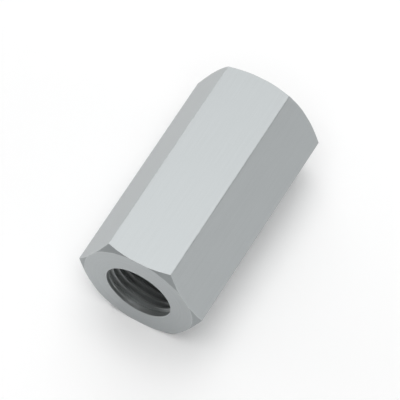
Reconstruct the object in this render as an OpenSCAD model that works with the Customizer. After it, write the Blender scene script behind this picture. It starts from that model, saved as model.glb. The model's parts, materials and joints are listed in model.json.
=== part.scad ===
// Coupling nut: a long hexagon nut that joins two threaded rods end to end.
// It lies on one of its six flats. The thread runs along Y, right through from end
// to end, and the origin is on the thread's axis, halfway along the nut.
// All sizes are in millimetres and all angles in degrees.

/* [Hexagon bar] */
// Width across flats, which is the wrench size
across_flats = 24; // [20:0.5:60]
// Length from end face to end face
nut_length = 48; // [12:1:160]

/* [Thread] */
// Nominal diameter of the metric thread
thread_d = 16; // [6:0.5:19.5]
// Distance from one turn of the thread to the next
thread_pitch = 1.5; // [0.5:0.25:3]
// Width of the 45 degree edge break round each mouth of the hole
mouth_break = 0.1; // [0.05:0.05:0.25]

/* [Chamfered ends] */
// Slope of the cone that takes off the six corners, measured from the end face
chamfer_angle = 27; // [15:1:45]
// How far the round end face reaches past the middle of each flat
face_reach = 0.05; // [0.05:0.05:1]

/* [Hidden] */

SIDES = 6;
// Depth of a metric internal thread as a share of its pitch: 5/8 of a sharp 60 degree V
THREAD_DEPTH_SHARE = 5 / 8 * sqrt(3) / 2;
// How far a cutter runs past the metal that it cuts
OVERCUT = 1;
SMOOTH = 128;

across_corners = across_flats / cos(180 / SIDES);
face_r = across_flats / 2 + face_reach;
// The cone is turned out past the corners, where there is no metal left
cone_r = across_corners / 2 + OVERCUT;
cone_rise = (cone_r - face_r) * tan(chamfer_angle);
// The tap drill leaves this diameter, which is the crest of the internal thread
minor_d = thread_d - 2 * THREAD_DEPTH_SHARE * thread_pitch;

// Lays a shape that stands on the XY plane down along Y.
// What faced +Y comes to face up, so the bar rests on a flat.
module laid_along_y() {
    rotate([90, 0, 0])
        children();
}

// Makes the shape at both ends of the nut from the one at its upper end
module at_both_ends() {
    children();
    mirror([0, 0, 1])
        children();
}

// The drawn bar: a hexagon with two of its corners on X
module hexagon_bar() {
    linear_extrude(height = nut_length, center = true)
        circle(d = across_corners, $fn = SIDES);
}

// Half of the turned outline, from the waist of the nut up to its end face
function turned_outline() = [
    [0, 0],
    [cone_r, 0],
    [cone_r, nut_length / 2 - cone_rise],
    [face_r, nut_length / 2],
    [0, nut_length / 2],
];

// What the lathe leaves: a round end face inside a cone.
// The cone meets each flat in a shallow curve that is deepest at the corners.
module turned_end() {
    rotate_extrude($fn = SMOOTH)
        polygon(turned_outline());
}

// The tap drill's hole, right through
module drilled_hole() {
    cylinder(d = minor_d, h = nut_length + 2 * OVERCUT, center = true, $fn = SMOOTH);
}

// The cone that breaks the sharp edge where the hole meets the end face
module mouth_cone() {
    depth = mouth_break + OVERCUT;
    translate([0, 0, nut_length / 2 - mouth_break])
        cylinder(h = depth, r1 = minor_d / 2, r2 = minor_d / 2 + depth, $fn = SMOOTH);
}

module coupling_nut() {
    color("#ced2d3")
        laid_along_y()
            difference() {
                intersection() {
                    hexagon_bar();
                    at_both_ends()
                        turned_end();
                }
                drilled_hole();
                at_both_ends()
                    mouth_cone();
            }
}

coupling_nut();
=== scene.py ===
"""The looks of a coupling nut: a long zinc-plated hexagon nut, threaded right through.

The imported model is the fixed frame. It gives the nut's place, its overall sizes and the radius
of its hole. This script builds one finished piece round those sizes, with softened edges and
the turns of the internal thread, and sets it on a plain pale floor under soft light.
Lengths are in metres, angles in radians where they are sizes, and the nut's axis is Y.
"""

from __future__ import annotations

import json
import logging
import math
from dataclasses import dataclass
from enum import Enum

import bpy
import numpy as np
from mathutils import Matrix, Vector


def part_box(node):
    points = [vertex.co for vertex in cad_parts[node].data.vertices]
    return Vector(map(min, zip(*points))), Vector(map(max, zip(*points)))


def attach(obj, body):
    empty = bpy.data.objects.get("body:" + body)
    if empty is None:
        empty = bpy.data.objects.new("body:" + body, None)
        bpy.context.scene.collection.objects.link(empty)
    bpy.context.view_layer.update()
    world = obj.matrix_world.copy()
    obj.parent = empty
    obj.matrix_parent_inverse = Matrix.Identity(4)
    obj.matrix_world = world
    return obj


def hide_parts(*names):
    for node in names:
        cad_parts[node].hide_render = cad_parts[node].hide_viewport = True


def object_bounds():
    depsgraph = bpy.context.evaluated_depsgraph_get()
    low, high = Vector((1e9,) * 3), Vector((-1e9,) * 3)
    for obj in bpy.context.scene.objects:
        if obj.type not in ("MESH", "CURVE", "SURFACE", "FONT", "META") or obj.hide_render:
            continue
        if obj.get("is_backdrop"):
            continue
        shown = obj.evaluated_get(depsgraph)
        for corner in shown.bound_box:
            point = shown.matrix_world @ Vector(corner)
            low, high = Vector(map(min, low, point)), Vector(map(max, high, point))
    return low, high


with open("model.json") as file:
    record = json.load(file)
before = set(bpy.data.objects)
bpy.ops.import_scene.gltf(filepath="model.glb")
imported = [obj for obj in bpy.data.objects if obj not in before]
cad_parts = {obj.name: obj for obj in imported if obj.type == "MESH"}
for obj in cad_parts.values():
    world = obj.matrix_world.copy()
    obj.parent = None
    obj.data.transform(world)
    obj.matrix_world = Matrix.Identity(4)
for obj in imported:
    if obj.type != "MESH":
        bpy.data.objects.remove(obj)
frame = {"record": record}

MM = 0.001
SIDES = 6
NODE = "coupling_nut"
BODY = "root"
HOLE_MOUNT = "front_thread"
NOISE_MIDDLE = 0.5
# Depth of a metric internal thread as a share of its pitch: 5/8 of a sharp 60 degree V
THREAD_DEPTH_SHARE = 5 / 8 * math.sqrt(3) / 2
LOG = logging.getLogger(NODE)

Colour = tuple[float, float, float]
WHITE = (1.0, 1.0, 1.0, 1.0)


# ---------------------------------------------------------------- node trees


class Tree:
    """A node tree with short calls for adding nodes and joining them."""

    def __init__(self, tree: bpy.types.NodeTree) -> None:
        """Keeps the tree.

        Args:
            tree: a shader or geometry node tree.
        """
        self.tree = tree

    def add(self, kind: str, **settings: object) -> bpy.types.Node:
        """Adds a node.

        Args:
            kind: the node's type name.
            **settings: properties to set on the node.

        Returns:
            The new node.
        """
        node = self.tree.nodes.new(kind)
        for name, value in settings.items():
            setattr(node, name, value)
        return node

    def feed(self, socket: bpy.types.NodeSocket, value: object) -> None:
        """Links a socket, or sets its own value.

        Args:
            socket: the input to fill.
            value: another node's output, or a number, colour or vector.
        """
        if isinstance(value, bpy.types.NodeSocket):
            self.tree.links.new(value, socket)
        else:
            socket.default_value = value

    def math(self, operation: str, *values: object, clamp: bool = False) -> bpy.types.NodeSocket:
        """Adds a Math node.

        Args:
            operation: the operation's name, such as "ADD".
            *values: one to three inputs.
            clamp: whether the result is kept from 0 to 1.

        Returns:
            The node's output.
        """
        node = self.add("ShaderNodeMath", operation=operation, use_clamp=clamp)
        for socket, value in zip(node.inputs, values):
            self.feed(socket, value)
        return node.outputs[0]

    def vector_math(self, operation: str, *values: object) -> bpy.types.NodeSocket:
        """Adds a Vector Math node with vector inputs and a vector output.

        Args:
            operation: the operation's name, such as "MULTIPLY".
            *values: the inputs.

        Returns:
            The node's output.
        """
        node = self.add("ShaderNodeVectorMath", operation=operation)
        for socket, value in zip(node.inputs, values):
            self.feed(socket, value)
        return node.outputs[0]

    def scaled(self, vector: object, factor: object) -> bpy.types.NodeSocket:
        """Multiplies a vector or colour by a number.

        Args:
            vector: the vector or colour.
            factor: the number or output.

        Returns:
            The scaled vector's output.
        """
        node = self.add("ShaderNodeVectorMath", operation="SCALE")
        self.feed(node.inputs["Vector"], vector)
        self.feed(node.inputs["Scale"], factor)
        return node.outputs[0]

    def mixed(self, kind: str, share: object, first: object, second: object) -> bpy.types.NodeSocket:
        """Adds a Mix node.

        Args:
            kind: "FLOAT", "VECTOR" or "RGBA".
            share: how much of the second there is, from 0 to 1.
            first: the input at 0.
            second: the input at 1.

        Returns:
            The node's output.
        """
        node = self.add("ShaderNodeMix", data_type=kind)
        open_inputs = [socket for socket in node.inputs if socket.enabled]
        for socket, value in zip(open_inputs, (share, first, second)):
            self.feed(socket, value)
        return next(socket for socket in node.outputs if socket.enabled)

    def remap(
        self,
        value: object,
        start: object,
        end: object,
        low: object = 0.0,
        high: object = 1.0,
        smooth: bool = False,
    ) -> bpy.types.NodeSocket:
        """Adds a clamped Map Range node.

        Args:
            value: the number to map.
            start: the value that gives low.
            end: the value that gives high.
            low: the result at start.
            high: the result at end.
            smooth: whether the ramp eases in and out.

        Returns:
            The node's output.
        """
        kind = "SMOOTHSTEP" if smooth else "LINEAR"
        node = self.add("ShaderNodeMapRange", interpolation_type=kind, clamp=True)
        for socket, given in zip(node.inputs, (value, start, end, low, high)):
            self.feed(socket, given)
        return node.outputs["Result"]

    def noise(self, place: object, detail: float = 2.0, roughness: float = 0.5) -> bpy.types.NodeSocket:
        """Adds a Noise Texture with features about one unit wide.

        Args:
            place: the vector to read it at.
            detail: how many finer layers there are.
            roughness: how strong the finer layers are.

        Returns:
            A number about 0.5.
        """
        node = self.add("ShaderNodeTexNoise")
        self.feed(node.inputs["Vector"], place)
        self.feed(node.inputs["Scale"], 1.0)
        self.feed(node.inputs["Detail"], detail)
        self.feed(node.inputs["Roughness"], roughness)
        return node.outputs["Fac"]

    def split(self, vector: bpy.types.NodeSocket) -> tuple[bpy.types.NodeSocket, ...]:
        """Splits a vector.

        Args:
            vector: the vector's socket.

        Returns:
            The outputs for X, Y and Z.
        """
        node = self.add("ShaderNodeSeparateXYZ")
        self.feed(node.inputs[0], vector)
        return tuple(node.outputs)

    def join(self, x: object, y: object, z: object) -> bpy.types.NodeSocket:
        """Joins three numbers into a vector.

        Args:
            x: the first number or output.
            y: the second.
            z: the third.

        Returns:
            The vector's output.
        """
        node = self.add("ShaderNodeCombineXYZ")
        for socket, value in zip(node.inputs, (x, y, z)):
            self.feed(socket, value)
        return node.outputs[0]

    def distance_from_axis(self, x: object, z: object) -> bpy.types.NodeSocket:
        """Works out how far a point is from the nut's axis.

        Args:
            x: the point's X.
            z: the point's Z.

        Returns:
            The distance's output.
        """
        squares = self.math("MULTIPLY_ADD", x, x, self.math("MULTIPLY", z, z))
        return self.math("SQRT", squares)

    def place(self, group: bpy.types.NodeTree, values: dict[str, object]) -> bpy.types.bpy_prop_collection:
        """Adds a shader node group.

        Args:
            group: the group.
            values: what each named input is given.

        Returns:
            The group's outputs, by name.
        """
        node = self.add("ShaderNodeGroup", node_tree=group)
        for name, value in values.items():
            self.feed(node.inputs[name], value)
        return node.outputs


# ---------------------------------------------------------------- the nut's sizes


@dataclass(frozen=True)
class NutSizes:
    """The nut's driving dimensions, in metres and radians."""

    across_flats: float
    length: float
    minor_radius: float
    mouth_break: float
    chamfer_angle: float = math.radians(27)
    face_reach: float = 0.05 * MM
    thread_pitch: float = 1.5 * MM

    @classmethod
    def from_frame(cls, node: str, mount: str, record: dict) -> "NutSizes":
        """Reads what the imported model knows.

        Args:
            node: the nut's node.
            mount: the mount that describes its hole.
            record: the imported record.

        Returns:
            The sizes.
        """
        low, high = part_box(node)
        size = high - low
        dims = next(m["dims"] for m in record["mounts"] if m["name"] == mount)
        return cls(
            across_flats=size.z,
            length=size.y,
            minor_radius=dims["r_mm"] * MM,
            mouth_break=(size.y - dims["length_mm"] * MM) / 2,
        )

    @property
    def face_radius(self) -> float:
        """The radius of the round end face."""
        return self.across_flats / 2 + self.face_reach

    @property
    def mouth_radius(self) -> float:
        """The radius of the hole's mouth, outside its broken edge."""
        return self.minor_radius + self.mouth_break

    @property
    def thread_depth(self) -> float:
        """The depth of the internal thread, from crest to root."""
        return THREAD_DEPTH_SHARE * self.thread_pitch


# ---------------------------------------------------------------- the body


@dataclass(frozen=True)
class HexagonBody:
    """The outside of the nut and its two end faces, open at the hole.

    Columns run round the axis and rings run from one mouth of the hole, over the outside, to
    the other mouth. Each column's outline is worked out where that column meets the hexagon.
    """

    sizes: NutSizes
    bar_edge_radius: float = 0.2 * MM
    turned_edge_radius: float = 0.07 * MM
    columns_per_side: int = 20
    bar_edge_steps: int = 4
    face_edge_steps: int = 2
    flat_edge_steps: int = 4

    @property
    def columns(self) -> int:
        """How many columns go round the axis."""
        return SIDES * self.columns_per_side

    def hexagon_points(self) -> np.ndarray:
        """Finds where each column meets the hexagon, from the top flat's middle round to +X.

        Returns:
            One (x, z) row for each column.
        """
        inner = self.sizes.across_flats / 2 - self.bar_edge_radius
        half_flat = inner * math.tan(math.pi / SIDES)
        half_edge = self.bar_edge_steps // 2
        flat_steps = self.columns_per_side // 2 - half_edge
        along = [half_flat * i / flat_steps for i in range(flat_steps)]
        turn = math.pi / SIDES / half_edge
        corner = np.array([half_flat, inner])
        side = [np.array([a, inner + self.bar_edge_radius]) for a in along]
        for i in range(half_edge + 1):
            lean = turn * i
            side.append(corner + self.bar_edge_radius * np.array([math.sin(lean), math.cos(lean)]))
        half = np.array(side)
        mirrored = half[1:-1][::-1] * [-1, 1]
        first = np.vstack([half, self._turned(mirrored, 1)])
        return np.vstack([self._turned(first, i) for i in range(SIDES)])

    @staticmethod
    def _turned(points: np.ndarray, sides: int) -> np.ndarray:
        """Turns points about the axis.

        Args:
            points: (x, z) rows.
            sides: how many sides of the hexagon they move by, from +Z towards +X.

        Returns:
            The turned rows.
        """
        angle = sides * math.tau / SIDES
        c, s = math.cos(angle), math.sin(angle)
        return points @ np.array([[c, -s], [s, c]])

    def end_outline(self, reach: np.ndarray) -> list[tuple[np.ndarray, np.ndarray]]:
        """Works out the outline of one end in each column, from the face to the flat.

        A fillet's centre lies on the outline moved inwards by the fillet's radius. Where the
        cone misses a column, both fillets share one centre between the face and the flat.

        Args:
            reach: each column's distance from the axis to the hexagon.

        Returns:
            (distance from the axis, distance from the end face) for each ring.
        """
        s, fillet = self.sizes, self.turned_edge_radius
        slope = s.chamfer_angle
        flat_centre = reach - fillet
        face_centre = np.minimum(s.face_radius - fillet * math.tan(slope / 2), flat_centre)
        rise = math.sin(slope) * (flat_centre - s.face_radius)
        depth = np.maximum((fillet + rise) / math.cos(slope), fillet)
        rings = []
        for i in range(self.face_edge_steps + 1):
            lean = slope * i / self.face_edge_steps
            drop = np.full_like(reach, fillet * (1 - math.cos(lean)))
            rings.append((face_centre + fillet * math.sin(lean), drop))
        for i in range(self.flat_edge_steps + 1):
            lean = slope + (math.pi / 2 - slope) * i / self.flat_edge_steps
            rings.append((flat_centre + fillet * math.sin(lean), depth - fillet * math.cos(lean)))
        return rings

    def rings(self) -> np.ndarray:
        """Places every vertex.

        Returns:
            An array of rings, columns and coordinates.
        """
        s = self.sizes
        points = self.hexagon_points()
        reach = np.linalg.norm(points, axis=1)
        outward = points / reach[:, None]
        turn = np.arange(self.columns) * math.tau / self.columns
        round_out = np.stack([np.sin(turn), np.cos(turn)], axis=1)
        end = [
            (round_out * s.minor_radius, np.full(self.columns, s.mouth_break)),
            (round_out * s.mouth_radius, np.zeros(self.columns)),
        ]
        for radius, depth in self.end_outline(reach):
            end.append((outward * radius[:, None], depth))
        front = [np.stack([p[:, 0], d - s.length / 2, p[:, 1]], axis=1) for p, d in end]
        rear = [ring * [1, -1, 1] for ring in front[::-1]]
        return np.array(front + rear)

    def mesh(self, name: str) -> bpy.types.Mesh:
        """Builds the mesh.

        Args:
            name: the mesh's name.

        Returns:
            The mesh, open at the two circles where the thread begins.
        """
        rings = self.rings()
        count, columns = rings.shape[:2]
        faces = []
        for ring in range(count - 1):
            for column in range(columns):
                after = (column + 1) % columns
                a, b = ring * columns + column, ring * columns + after
                faces.append((a, b, b + columns, a + columns))
        mesh = bpy.data.meshes.new(name)
        mesh.from_pydata(rings.reshape(-1, 3).tolist(), [], faces)
        mesh.update()
        return mesh


# ---------------------------------------------------------------- the thread


@dataclass(frozen=True)
class ThreadedWall:
    """The hole's wall with its right-hand thread, made by a geometry node tree.

    The wall is a grid. Its columns go once round the axis, and its rails follow the helix. The
    rails of each turn are shared equally between crest, flank, root and flank.
    """

    sizes: NutSizes
    columns: int
    rails_per_part: int = 4
    lip: float = 0.25 * MM
    run_in: float = 1.9 * MM
    crest_share: float = 1 / 4
    flank_share: float = 5 / 16
    root_share: float = 1 / 8
    merge_distance: float = 0.002 * MM
    sharp_angle: float = math.radians(30)

    PARTS = 4
    SPARE_TURNS = 2
    GRID_SIZE = 1.0
    CORNER_SLACK = 0.01

    @property
    def turns(self) -> int:
        """How many turns the grid has, with a spare one past each mouth."""
        return math.ceil(self.sizes.length / self.sizes.thread_pitch) + self.SPARE_TURNS

    def inputs(self, finish: bpy.types.Material) -> dict[str, tuple[str, object]]:
        """Names the tree's inputs.

        Args:
            finish: the thread's material.

        Returns:
            Each input's socket type and value.
        """
        s = self.sizes
        return {
            "Minor Radius": ("NodeSocketFloat", s.minor_radius),
            "Thread Depth": ("NodeSocketFloat", s.thread_depth),
            "Pitch": ("NodeSocketFloat", s.thread_pitch),
            "Half Wall Length": ("NodeSocketFloat", s.length / 2 - s.mouth_break),
            "Lip": ("NodeSocketFloat", self.lip),
            "Run In": ("NodeSocketFloat", self.run_in),
            "Crest Share": ("NodeSocketFloat", self.crest_share),
            "Flank Share": ("NodeSocketFloat", self.flank_share),
            "Root Share": ("NodeSocketFloat", self.root_share),
            "Columns": ("NodeSocketInt", self.columns),
            "Turns": ("NodeSocketInt", self.turns),
            "Rails Per Part": ("NodeSocketInt", self.rails_per_part),
            "Merge Distance": ("NodeSocketFloat", self.merge_distance),
            "Sharp Angle": ("NodeSocketFloat", self.sharp_angle),
            "Finish": ("NodeSocketMaterial", finish),
        }

    def add_to(self, piece: bpy.types.Object, finish: bpy.types.Material) -> None:
        """Gives a piece the thread, as a live modifier.

        Args:
            piece: the nut, with an open hole.
            finish: the thread's material.
        """
        modifier = piece.modifiers.new("threaded_wall", "NODES")
        modifier.node_group = self.tree(finish)
        values = self.inputs(finish)
        for socket in modifier.node_group.interface.items_tree:
            if socket.name in values:
                modifier[socket.identifier] = values[socket.name][1]

    def tree(self, finish: bpy.types.Material) -> bpy.types.NodeTree:
        """Builds the node tree.

        Args:
            finish: the thread's material.

        Returns:
            The tree. It joins the wall to the body that it is given.
        """
        group = bpy.data.node_groups.new("threaded_wall", "GeometryNodeTree")
        group.interface.new_socket("Body", in_out="INPUT", socket_type="NodeSocketGeometry")
        for name, (kind, _) in self.inputs(finish).items():
            group.interface.new_socket(name, in_out="INPUT", socket_type=kind)
        group.interface.new_socket("Nut", in_out="OUTPUT", socket_type="NodeSocketGeometry")
        t = Tree(group)
        given = t.add("NodeGroupInput").outputs

        wall, is_wall, is_corner = self._wall(t, given)
        both = t.add("GeometryNodeJoinGeometry")
        t.feed(both.inputs["Geometry"], wall)
        t.feed(both.inputs["Geometry"], given["Body"])
        welded = t.add("GeometryNodeMergeByDistance")
        t.feed(welded.inputs["Geometry"], both.outputs["Geometry"])
        t.feed(welded.inputs["Distance"], given["Merge Distance"])

        bend = t.add("GeometryNodeInputMeshEdgeAngle").outputs["Unsigned Angle"]
        bent = t.math("GREATER_THAN", bend, given["Sharp Angle"])
        creased = t.add("GeometryNodeSetShadeSmooth", domain="EDGE")
        t.feed(creased.inputs["Geometry"], welded.outputs["Geometry"])
        t.feed(creased.inputs["Selection"], t.math("MAXIMUM", bent, is_corner))
        t.feed(creased.inputs["Shade Smooth"], False)

        real = t.add("GeometryNodeRealizeInstances")
        t.feed(real.inputs["Geometry"], creased.outputs["Geometry"])
        dressed = t.add("GeometryNodeSetMaterial")
        t.feed(dressed.inputs["Geometry"], real.outputs["Geometry"])
        t.feed(dressed.inputs["Selection"], is_wall)
        t.feed(dressed.inputs["Material"], given["Finish"])
        t.feed(t.add("NodeGroupOutput").inputs["Nut"], dressed.outputs["Geometry"])
        return group

    def _wall(self, t: Tree, given: bpy.types.bpy_prop_collection) -> tuple[bpy.types.NodeSocket, ...]:
        """Winds a grid into the wall.

        Args:
            t: the tree.
            given: the tree's inputs.

        Returns:
            The wall facing its axis, a mask of its faces and a mask of the thread's corners.
        """
        grid = t.add("GeometryNodeMeshGrid")
        rails = t.math("MULTIPLY", given["Turns"], t.math("MULTIPLY", given["Rails Per Part"], self.PARTS))
        t.feed(grid.inputs["Vertices X"], t.math("ADD", given["Columns"], 1))
        t.feed(grid.inputs["Vertices Y"], t.math("ADD", rails, 1))
        t.feed(grid.inputs["Size X"], self.GRID_SIZE)
        t.feed(grid.inputs["Size Y"], self.GRID_SIZE)
        across, along, _ = t.split(t.add("GeometryNodeInputPosition").outputs[0])
        round_share = t.math("ADD", across, self.GRID_SIZE / 2)
        rail = t.math("ROUND", t.math("MULTIPLY", t.math("ADD", along, self.GRID_SIZE / 2), rails))
        parts_on = t.math("DIVIDE", rail, given["Rails Per Part"])

        part_share = t.math("FRACT", parts_on)
        corners = t.add("GeometryNodeCaptureAttribute", domain="POINT")
        corners.capture_items.new("BOOLEAN", "Is Corner")
        t.feed(corners.inputs["Geometry"], grid.outputs["Mesh"])
        t.feed(corners.inputs["Is Corner"], t.math("COMPARE", part_share, 0, self.CORNER_SLACK))
        wound = t.add("GeometryNodeSetPosition")
        t.feed(wound.inputs["Geometry"], corners.outputs["Geometry"])
        t.feed(wound.inputs["Position"], self._place(t, given, round_share, parts_on))
        facing_in = t.add("GeometryNodeFlipFaces")
        t.feed(facing_in.inputs["Mesh"], wound.outputs["Geometry"])
        faces = t.add("GeometryNodeCaptureAttribute", domain="FACE")
        faces.capture_items.new("BOOLEAN", "Is Wall")
        t.feed(faces.inputs["Is Wall"], True)
        t.feed(faces.inputs["Geometry"], facing_in.outputs["Mesh"])
        return faces.outputs["Geometry"], faces.outputs["Is Wall"], corners.outputs["Is Corner"]

    def _place(
        self,
        t: Tree,
        given: bpy.types.bpy_prop_collection,
        round_share: bpy.types.NodeSocket,
        parts_on: bpy.types.NodeSocket,
    ) -> bpy.types.NodeSocket:
        """Works out where a point of the grid goes.

        Args:
            t: the tree.
            given: the tree's inputs.
            round_share: how far round the axis it is, from 0 to 1.
            parts_on: how many parts of a turn come before it.

        Returns:
            The point's position on the thread.
        """
        turn = t.math("FLOOR", t.math("DIVIDE", parts_on, self.PARTS))
        part = t.math("SUBTRACT", parts_on, t.math("MULTIPLY", turn, self.PARTS))

        # Parts 0 to 4 of a turn: crest, flank outwards, root, flank inwards
        outwards = t.remap(part, 1, 2)
        inwards = t.remap(part, 3, 4)
        flanks = t.math("ADD", outwards, inwards)
        share = t.math("MULTIPLY", t.remap(part, 0, 1), given["Crest Share"])
        share = t.math("MULTIPLY_ADD", flanks, given["Flank Share"], share)
        share = t.math("MULTIPLY_ADD", t.remap(part, 2, 3), given["Root Share"], share)

        turns_on = t.math("ADD", t.math("ADD", turn, share), round_share)
        middle = t.math("DIVIDE", t.math("ADD", given["Turns"], 1), 2)
        wound = t.math("MULTIPLY", t.math("SUBTRACT", turns_on, middle), given["Pitch"])
        front_end = t.math("MULTIPLY", given["Half Wall Length"], -1)
        along = t.math("MINIMUM", t.math("MAXIMUM", wound, front_end), given["Half Wall Length"])
        inside = t.math("SUBTRACT", given["Half Wall Length"], t.math("ABSOLUTE", along))
        full_from = t.math("ADD", given["Lip"], given["Run In"])
        run_in = t.remap(inside, given["Lip"], full_from, smooth=True)
        cut = t.math("MULTIPLY", t.math("SUBTRACT", outwards, inwards), run_in)
        radius = t.math("MULTIPLY_ADD", cut, given["Thread Depth"], given["Minor Radius"])

        angle = t.math("MULTIPLY", round_share, math.tau)
        x = t.math("MULTIPLY", radius, t.math("SINE", angle))
        z = t.math("MULTIPLY", radius, t.math("COSINE", angle))
        return t.join(x, along, z)


# ---------------------------------------------------------------- effects that finishes share


class Lay(Enum):
    """Which way a tool has run over the metal, as the tool marks group reads it."""

    ALONG = 0.0
    ROUND = 1.0


class EffectGroup:
    """A shader node group with a position, named numbers and named results."""

    def __init__(self, name: str, numbers: tuple[str, ...], results: tuple[str, ...]) -> None:
        """Makes the group's sockets.

        Args:
            name: the group's name.
            numbers: its number inputs, after the position.
            results: its outputs.
        """
        self.group = bpy.data.node_groups.new(name, "ShaderNodeTree")
        sockets = self.group.interface
        sockets.new_socket("Position", in_out="INPUT", socket_type="NodeSocketVector")
        for number in numbers:
            sockets.new_socket(number, in_out="INPUT", socket_type="NodeSocketFloat")
        for result in results:
            sockets.new_socket(result, in_out="OUTPUT", socket_type="NodeSocketFloat")
        self.tree = Tree(self.group)
        self.given = self.tree.add("NodeGroupInput").outputs
        self.results = self.tree.add("NodeGroupOutput").inputs

    def per(self, size: str) -> bpy.types.NodeSocket:
        """Divides the position by the named size."""
        return self.tree.scaled(self.given["Position"], self.tree.math("DIVIDE", 1, self.given[size]))


class Effects:
    """The node groups that both finishes use, each built once."""

    AXIS_SHARE = 0.7
    LINE_DETAIL = 4.0
    LINE_ROUGHNESS = 0.65
    CLOUD_DETAIL = 3.0
    GRAIN_DETAIL = 1.0
    PATCH_LOW = 0.3
    PATCH_HIGH = 0.7
    LEAST_REACH = 0.3
    MOST_REACH = 1.7

    def __init__(self) -> None:
        """Builds the groups."""
        self.tool_marks = self._tool_marks()
        self.plating = self._plating()
        self.edge_wear = self._edge_wear()

    def _tool_marks(self) -> bpy.types.NodeTree:
        """Fine lines that a die or a cutting edge leaves, along the axis or round it.

        Round the axis, a line is told from the next by its distance from the axis and, for a
        part of it, by its place along the axis, so that the wall of the hole has lines too.

        Returns:
            The group. Its height lies about the noise's middle.
        """
        e = EffectGroup("tool_marks", ("Lay", "Line Width", "Line Length"), ("Height",))
        t = e.tree
        x, y, z = t.split(e.given["Position"])
        per_width = t.math("DIVIDE", 1, e.given["Line Width"])
        per_length = t.math("DIVIDE", 1, e.given["Line Length"])
        drawn = t.vector_math("MULTIPLY", e.given["Position"], t.join(per_width, per_length, per_width))
        outward = t.math("MULTIPLY_ADD", y, self.AXIS_SHARE, t.distance_from_axis(x, z))
        cut = t.vector_math("MULTIPLY", t.join(outward, x, z), t.join(per_width, per_length, per_length))
        run = t.mixed("VECTOR", e.given["Lay"], drawn, cut)
        t.feed(e.results["Height"], t.noise(run, self.LINE_DETAIL, self.LINE_ROUGHNESS))
        return e.group

    def _plating(self) -> bpy.types.NodeTree:
        """The uneven look of a plated skin: soft clouds, and the fine grain of its crystals.

        Returns:
            The group. Both of its results lie about the noise's middle.
        """
        e = EffectGroup("plating", ("Cloud Size", "Grain Size"), ("Cloud", "Grain"))
        t = e.tree
        t.feed(e.results["Cloud"], t.noise(e.per("Cloud Size"), self.CLOUD_DETAIL))
        t.feed(e.results["Grain"], t.noise(e.per("Grain Size"), self.GRAIN_DETAIL))
        return e.group

    def _edge_wear(self) -> bpy.types.NodeTree:
        """Rubbed metal along an edge, wider in some places than in others.

        Returns:
            The group. Its wear is 1 on the edge and 0 away from it.
        """
        e = EffectGroup("edge_wear", ("Distance", "Reach", "Patch Size"), ("Wear",))
        t = e.tree
        patches = t.noise(e.per("Patch Size"))
        share = t.remap(patches, self.PATCH_LOW, self.PATCH_HIGH, self.LEAST_REACH, self.MOST_REACH)
        reach = t.math("MULTIPLY", e.given["Reach"], share)
        t.feed(e.results["Wear"], t.remap(e.given["Distance"], 0, reach, 1, 0, smooth=True))
        return e.group


# ---------------------------------------------------------------- finishes


@dataclass(frozen=True)
class MetalSkin:
    """What every metal finish here has: a colour, a gloss, and how far each effect moves them."""

    name: str
    colour: Colour
    rubbed_colour: Colour
    roughness: float
    rubbed_roughness: float
    line_width: float
    line_length: float
    line_depth: float
    cloud_size: float
    grain_size: float
    wear_reach: float
    wear_patch: float
    drawn_tone: float = 0.16
    turned_tone: float = 0.30
    cloud_tone: float = 0.05
    grain_tone: float = 0.05
    line_gloss: float = 0.12
    cloud_gloss: float = 0.05
    metallic: float = 1.0

    def skin(
        self,
        effects: Effects,
        t: Tree,
        lay: object,
        edge_distance: object,
        roughness: object,
        tone: object = 1.0,
    ) -> None:
        """Feeds the material's shader.

        Args:
            effects: the shared groups.
            t: the material's tree, with its shader.
            lay: which way the tool has run, from Lay.ALONG to Lay.ROUND.
            edge_distance: how far the nearest rubbed edge is.
            roughness: the roughness about which the effects move.
            tone: the share of the colour about which the effects move; in the thread this carries painted
                shade, darker towards the roots.
        """
        position = t.add("ShaderNodeTexCoord").outputs["Object"]
        lines = t.place(effects.tool_marks, {
            "Position": position,
            "Lay": lay,
            "Line Width": self.line_width,
            "Line Length": self.line_length,
        })["Height"]
        plating = t.place(effects.plating, {
            "Position": position,
            "Cloud Size": self.cloud_size,
            "Grain Size": self.grain_size,
        })
        wear = t.place(effects.edge_wear, {
            "Position": position,
            "Distance": edge_distance,
            "Reach": self.wear_reach,
            "Patch Size": self.wear_patch,
        })["Wear"]

        line_tone = t.mixed("FLOAT", lay, self.drawn_tone, self.turned_tone)
        tone = self._moved(t, tone, lines, line_tone)
        tone = self._moved(t, tone, plating["Cloud"], self.cloud_tone)
        tone = self._moved(t, tone, plating["Grain"], self.grain_tone)
        plain = t.scaled(self.colour, tone)
        gloss = self._moved(t, roughness, lines, self.line_gloss)
        gloss = self._moved(t, gloss, plating["Cloud"], self.cloud_gloss)
        bump = t.add("ShaderNodeBump")
        t.feed(bump.inputs["Distance"], self.line_depth)
        t.feed(bump.inputs["Height"], lines)

        shader = t.tree.nodes["Principled BSDF"].inputs
        t.feed(shader["Metallic"], self.metallic)
        t.feed(shader["Base Color"], t.mixed("RGBA", wear, plain, (*self.rubbed_colour, 1)))
        t.feed(shader["Roughness"], t.mixed("FLOAT", wear, gloss, self.rubbed_roughness))
        t.feed(shader["Normal"], bump.outputs["Normal"])

    @staticmethod
    def _moved(t: Tree, value: object, effect: bpy.types.NodeSocket, reach: object) -> bpy.types.NodeSocket:
        """Moves a number up and down with an effect.

        Args:
            t: the material's tree.
            value: the number.
            effect: the effect's result, which lies about the noise's middle.
            reach: how far a whole unit of the effect moves the number.

        Returns:
            The moved number's output.
        """
        return t.math("MULTIPLY_ADD", t.math("SUBTRACT", effect, NOISE_MIDDLE), reach, value)

    def new_tree(self) -> tuple[bpy.types.Material, Tree]:
        """Starts the material.

        Returns:
            The material, and its tree.
        """
        material = bpy.data.materials.new(self.name)
        material.use_nodes = True
        return material, Tree(material.node_tree)


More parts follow.
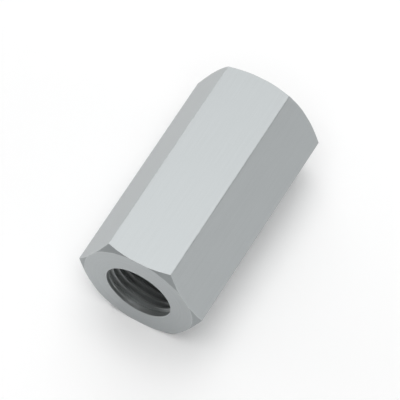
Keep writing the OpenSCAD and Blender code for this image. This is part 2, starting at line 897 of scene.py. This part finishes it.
@dataclass(frozen=True)
class ZincPlate(MetalSkin):
    """Satin zinc plating, over flats with drawn lines and over turned faces and cones."""

    name: str = "zinc_plate"
    colour: Colour = (0.415, 0.437, 0.443)
    rubbed_colour: Colour = (0.480, 0.500, 0.505)
    roughness: float = 0.42
    rubbed_roughness: float = 0.38
    line_width: float = 0.25 * MM
    line_length: float = 14.0 * MM
    line_depth: float = 0.012 * MM
    cloud_size: float = 9.0 * MM
    grain_size: float = 0.2 * MM
    wear_reach: float = 0.12 * MM
    wear_patch: float = 1.5 * MM
    cone_roughness: float = 0.70
    blend: float = 0.04 * MM

    def material(self, effects: Effects, sizes: NutSizes) -> bpy.types.Material:
        """Builds the material.

        Args:
            effects: the shared groups.
            sizes: the nut's sizes, which tell the turned ends from the flats.

        Returns:
            The material.
        """
        material, t = self.new_tree()
        x, y, z = t.split(t.add("ShaderNodeTexCoord").outputs["Object"])
        radius = t.distance_from_axis(x, z)
        past_face = t.math("SUBTRACT", radius, sizes.face_radius)
        from_end = t.math("SUBTRACT", sizes.length / 2, t.math("ABSOLUTE", y))
        cone_depth = t.math("MULTIPLY", t.math("MAXIMUM", past_face, 0), math.tan(sizes.chamfer_angle))
        behind_cone = t.math("SUBTRACT", from_end, cone_depth)
        turned = t.remap(behind_cone, self.blend, 2 * self.blend, Lay.ROUND.value, Lay.ALONG.value)
        on_cone = t.math("MULTIPLY", turned, t.remap(past_face, 0, self.blend))

        from_middles = self._distances_to_sides(t, x, z)
        largest = t.math("MAXIMUM", t.math("MAXIMUM", *from_middles[:2]), from_middles[2])
        least = t.math("MINIMUM", t.math("MINIMUM", *from_middles[:2]), from_middles[2])
        total = t.math("ADD", t.math("ADD", *from_middles[:2]), from_middles[2])
        second = t.math("SUBTRACT", total, t.math("ADD", largest, least))
        half = sizes.across_flats / 2
        to_bar_edge = t.math("DIVIDE", t.math("SUBTRACT", half, second), math.cos(math.pi / SIDES))
        to_flat = t.math("SUBTRACT", half, largest)
        on_flats = t.math("MINIMUM", to_bar_edge, behind_cone)
        to_mouth = t.math("SUBTRACT", radius, sizes.mouth_radius)
        on_ends = t.math("MINIMUM", t.math("MINIMUM", t.math("ABSOLUTE", past_face), to_flat), to_mouth)
        edge_distance = t.mixed("FLOAT", turned, on_flats, on_ends)

        roughness = t.mixed("FLOAT", on_cone, self.roughness, self.cone_roughness)
        self.skin(effects, t, turned, edge_distance, roughness)
        return material

    @staticmethod
    def _distances_to_sides(t: Tree, x: object, z: object) -> list[bpy.types.NodeSocket]:
        """Measures a point towards each pair of opposite flats.

        Args:
            t: the material's tree.
            x: the point's X.
            z: the point's Z.

        Returns:
            The distance from the axis square to each pair, half the width across flats on one.
        """
        found = []
        for pair in range(SIDES // 2):
            lean = pair * math.tau / SIDES
            towards = t.math("MULTIPLY_ADD", x, math.sin(lean), t.math("MULTIPLY", z, math.cos(lean)))
            found.append(t.math("ABSOLUTE", towards))
        return found


@dataclass(frozen=True)
class TappedThread(MetalSkin):
    """The cut thread: thinly plated and rubbed on the crests, with painted shade that darkens it towards
    the roots.
    """

    name: str = "tapped_thread"
    colour: Colour = (0.442, 0.461, 0.461)
    rubbed_colour: Colour = (0.495, 0.515, 0.515)
    roughness: float = 0.52
    rubbed_roughness: float = 0.45
    line_width: float = 0.09 * MM
    line_length: float = 5.0 * MM
    line_depth: float = 0.003 * MM
    cloud_size: float = 3.0 * MM
    grain_size: float = 0.15 * MM
    wear_reach: float = 0.06 * MM
    wear_patch: float = 1.0 * MM
    # Share of the colour left at the thread's root: painted shade, not a real change of finish
    painted_root_shade: float = 0.8

    def material(self, effects: Effects, sizes: NutSizes) -> bpy.types.Material:
        """Builds the material.

        Args:
            effects: the shared groups.
            sizes: the nut's sizes, which tell crests from roots.

        Returns:
            The material.
        """
        material, t = self.new_tree()
        x, _, z = t.split(t.add("ShaderNodeTexCoord").outputs["Object"])
        from_crest = t.math("SUBTRACT", t.distance_from_axis(x, z), sizes.minor_radius)
        # Painted shade: the colour darkens from the crest down into the thread's root, where shade falls
        tone = t.remap(from_crest, 0, sizes.thread_depth, 1, self.painted_root_shade)
        self.skin(effects, t, Lay.ROUND.value, from_crest, self.roughness, tone)
        return material


# ---------------------------------------------------------------- the nut


@dataclass(frozen=True)
class CouplingNut:
    """The nut, as one finished piece."""

    sizes: NutSizes
    plate: ZincPlate = ZincPlate()
    tapped: TappedThread = TappedThread()
    name: str = "nut"
    normal_weight: int = 100

    def build(self, effects: Effects) -> bpy.types.Object:
        """Builds the nut: its outside, its thread and its finishes.

        Args:
            effects: the shader groups that the finishes share.

        Returns:
            The finished piece, with a plain mesh and no modifier.
        """
        body = HexagonBody(self.sizes)
        draft = self._object(body.mesh(f"{self.name}_body"))
        self.dress(draft, body.columns, effects)
        threaded = self._plain(draft)
        threaded.data.shade_smooth()
        even = threaded.modifiers.new("even_flats", "WEIGHTED_NORMAL")
        even.keep_sharp = True
        even.weight = self.normal_weight
        return self._plain(threaded)

    def dress(self, draft: bpy.types.Object, columns: int, effects: Effects) -> None:
        """Plates the outside, and gives the hole its wall with the wall's own finish.

        Args:
            draft: the body, with an open hole.
            columns: how many columns go round the hole.
            effects: the shader groups that the finishes share.
        """
        draft.data.materials.append(self.plate.material(effects, self.sizes))
        wall = ThreadedWall(self.sizes, columns)
        wall.add_to(draft, self.tapped.material(effects, self.sizes))

    def _object(self, mesh: bpy.types.Mesh) -> bpy.types.Object:
        """Puts a mesh in the scene.

        Args:
            mesh: the mesh.

        Returns:
            Its object, under the nut's name.
        """
        made = bpy.data.objects.new(self.name, mesh)
        bpy.context.scene.collection.objects.link(made)
        return made

    def _plain(self, shaped: bpy.types.Object) -> bpy.types.Object:
        """Turns an object and its modifiers into a plain mesh.

        Args:
            shaped: the object, which is removed.

        Returns:
            The new object, without the empty material slots that a node tree leaves.
        """
        graph = bpy.context.evaluated_depsgraph_get()
        mesh = bpy.data.meshes.new_from_object(shaped.evaluated_get(graph), depsgraph=graph)
        bpy.data.objects.remove(shaped)
        for slot in reversed(range(len(mesh.materials))):
            if mesh.materials[slot] is None:
                mesh.materials.pop(index=slot)
        mesh.name = self.name
        return self._object(mesh)


# ---------------------------------------------------------------- the studio


def direction(azimuth: float, elevation: float) -> Vector:
    """Points from the nut towards a place round it.

    Args:
        azimuth: degrees from the front, -Y, towards +X.
        elevation: degrees above the horizon.

    Returns:
        A unit vector.
    """
    a, e = math.radians(azimuth), math.radians(elevation)
    return Vector((math.sin(a) * math.cos(e), -math.cos(a) * math.cos(e), math.sin(e)))


def aim(placed: bpy.types.Object, place: Vector) -> None:
    """Puts a lamp or camera in its place, looking at the origin.

    Args:
        placed: the lamp or camera.
        place: where it stands.
    """
    placed.location = place
    placed.rotation_euler = (-place).to_track_quat("-Z", "Y").to_euler()
    bpy.context.scene.collection.objects.link(placed)


@dataclass(frozen=True)
class Softbox:
    """A flat soft lamp that faces the nut."""

    name: str
    azimuth: float
    elevation: float
    width: float
    height: float
    radiance: float
    distance: float = 0.8

    def build(self) -> bpy.types.Object:
        """Makes the lamp.

        Returns:
            The lamp's object.
        """
        lamp = bpy.data.lights.new(self.name, "AREA")
        lamp.shape = "RECTANGLE"
        lamp.size = self.width
        lamp.size_y = self.height
        # A one-sided lamp of this power has the radiance that was asked for
        lamp.energy = self.radiance * math.pi * self.width * self.height
        placed = bpy.data.objects.new(self.name, lamp)
        aim(placed, direction(self.azimuth, self.elevation) * self.distance)
        return placed


@dataclass(frozen=True)
class Studio:
    """A plain pale floor, soft lamps and a dim, even room."""

    floor_height: float
    floor_size: float = 4.0
    floor_colour: Colour = (0.92, 0.92, 0.92)
    floor_roughness: float = 0.9
    floor_specular: float = 0.0
    floor_gap: float = 0.01 * MM
    floor_lift: float = 0.07
    room: float = 0.12
    lamps: tuple[Softbox, ...] = (
        Softbox("key", azimuth=-150, elevation=60, width=0.7, height=0.7, radiance=1.14),
        Softbox("top", azimuth=0, elevation=90, width=0.7, height=0.7, radiance=1.44),
        Softbox("front_high", azimuth=30, elevation=65, width=0.6, height=0.6, radiance=1.69),
        Softbox("front_low", azimuth=45, elevation=12, width=0.6, height=0.3, radiance=0.41),
        Softbox("front_left", azimuth=-45, elevation=45, width=0.6, height=0.6, radiance=0.30),
        Softbox("back", azimuth=180, elevation=30, width=0.6, height=0.6, radiance=0.35),
        Softbox("back_right", azimuth=135, elevation=45, width=0.6, height=0.6, radiance=0.18),
        Softbox("left", azimuth=-90, elevation=30, width=0.6, height=0.6, radiance=0.20),
        Softbox("right", azimuth=90, elevation=30, width=0.6, height=0.6, radiance=0.15),
        Softbox("right_low", azimuth=90, elevation=12, width=0.8, height=0.3, radiance=1.47),
        Softbox("left_low", azimuth=-90, elevation=12, width=0.8, height=0.3, radiance=1.36),
        Softbox("back_low", azimuth=-135, elevation=12, width=0.6, height=0.3, radiance=2.40),
    )

    def build(self) -> None:
        """Makes the floor, the lamps and the room."""
        self._floor()
        for lamp in self.lamps:
            lamp.build()
        world = bpy.data.worlds.new("room")
        world.use_nodes = True
        background = world.node_tree.nodes["Background"].inputs
        background["Color"].default_value = WHITE
        background["Strength"].default_value = self.room
        bpy.context.scene.world = world
        bpy.context.scene.view_settings.view_transform = "Standard"

    def _floor(self) -> None:
        """Makes the floor just under the nut, and says that it isn't part of it."""
        half = self.floor_size / 2
        height = self.floor_height - self.floor_gap
        corners = [(x, y, height) for x, y in ((-half, -half), (half, -half), (half, half), (-half, half))]
        mesh = bpy.data.meshes.new("floor")
        mesh.from_pydata(corners, [], [(0, 1, 2, 3)])
        mesh.materials.append(self._floor_material())
        floor = bpy.data.objects.new("floor", mesh)
        bpy.context.scene.collection.objects.link(floor)
        floor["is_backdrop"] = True

    def _floor_material(self) -> bpy.types.Material:
        """Makes the floor's pale, matt finish.

        Returns:
            The material. What is seen of the floor is lifted a little towards white, both straight
            and in the metal, and no light is added to the nut.
        """
        material = bpy.data.materials.new("pale_floor")
        material.use_nodes = True
        t = Tree(material.node_tree)
        rays = t.add("ShaderNodeLightPath").outputs
        mirrored = t.math("MAXIMUM", rays["Is Glossy Ray"], rays["Is Transmission Ray"])
        seen = t.math("MAXIMUM", rays["Is Camera Ray"], mirrored)
        shader = t.tree.nodes["Principled BSDF"].inputs
        t.feed(shader["Base Color"], (*self.floor_colour, 1))
        t.feed(shader["Roughness"], self.floor_roughness)
        t.feed(shader["Specular IOR Level"], self.floor_specular)
        t.feed(shader["Emission Color"], WHITE)
        t.feed(shader["Emission Strength"], t.math("MULTIPLY", seen, self.floor_lift))
        return material


@dataclass(frozen=True)
class Viewpoint:
    """The camera: a long lens, high on the nut's front right."""

    azimuth: float = 30.0
    elevation: float = 60.0
    distance: float = 0.748
    lens_mm: float = 342.5
    sensor_mm: float = 36.0
    clip_share: float = 0.1

    def build(self) -> bpy.types.Object:
        """Makes the camera and gives it to the scene.

        Returns:
            The camera's object.
        """
        data = bpy.data.cameras.new("camera")
        data.lens = self.lens_mm
        data.sensor_width = self.sensor_mm
        data.clip_start = self.distance * self.clip_share
        placed = bpy.data.objects.new("camera", data)
        aim(placed, direction(self.azimuth, self.elevation) * self.distance)
        bpy.context.scene.camera = placed
        return placed


def main() -> None:
    """Builds the nut, the studio and the camera."""
    logging.basicConfig(level=logging.INFO, format="%(message)s")
    low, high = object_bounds()
    sizes = NutSizes.from_frame(NODE, HOLE_MOUNT, frame["record"])
    piece = CouplingNut(sizes).build(Effects())
    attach(piece, BODY)
    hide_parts(NODE)
    LOG.info("%s: %d faces, rides on %s", piece.name, len(piece.data.polygons), BODY)
    Studio(floor_height=low.z).build()
    Viewpoint().build()
    bpy.context.view_layer.update()


if __name__ == "__main__":
    main()
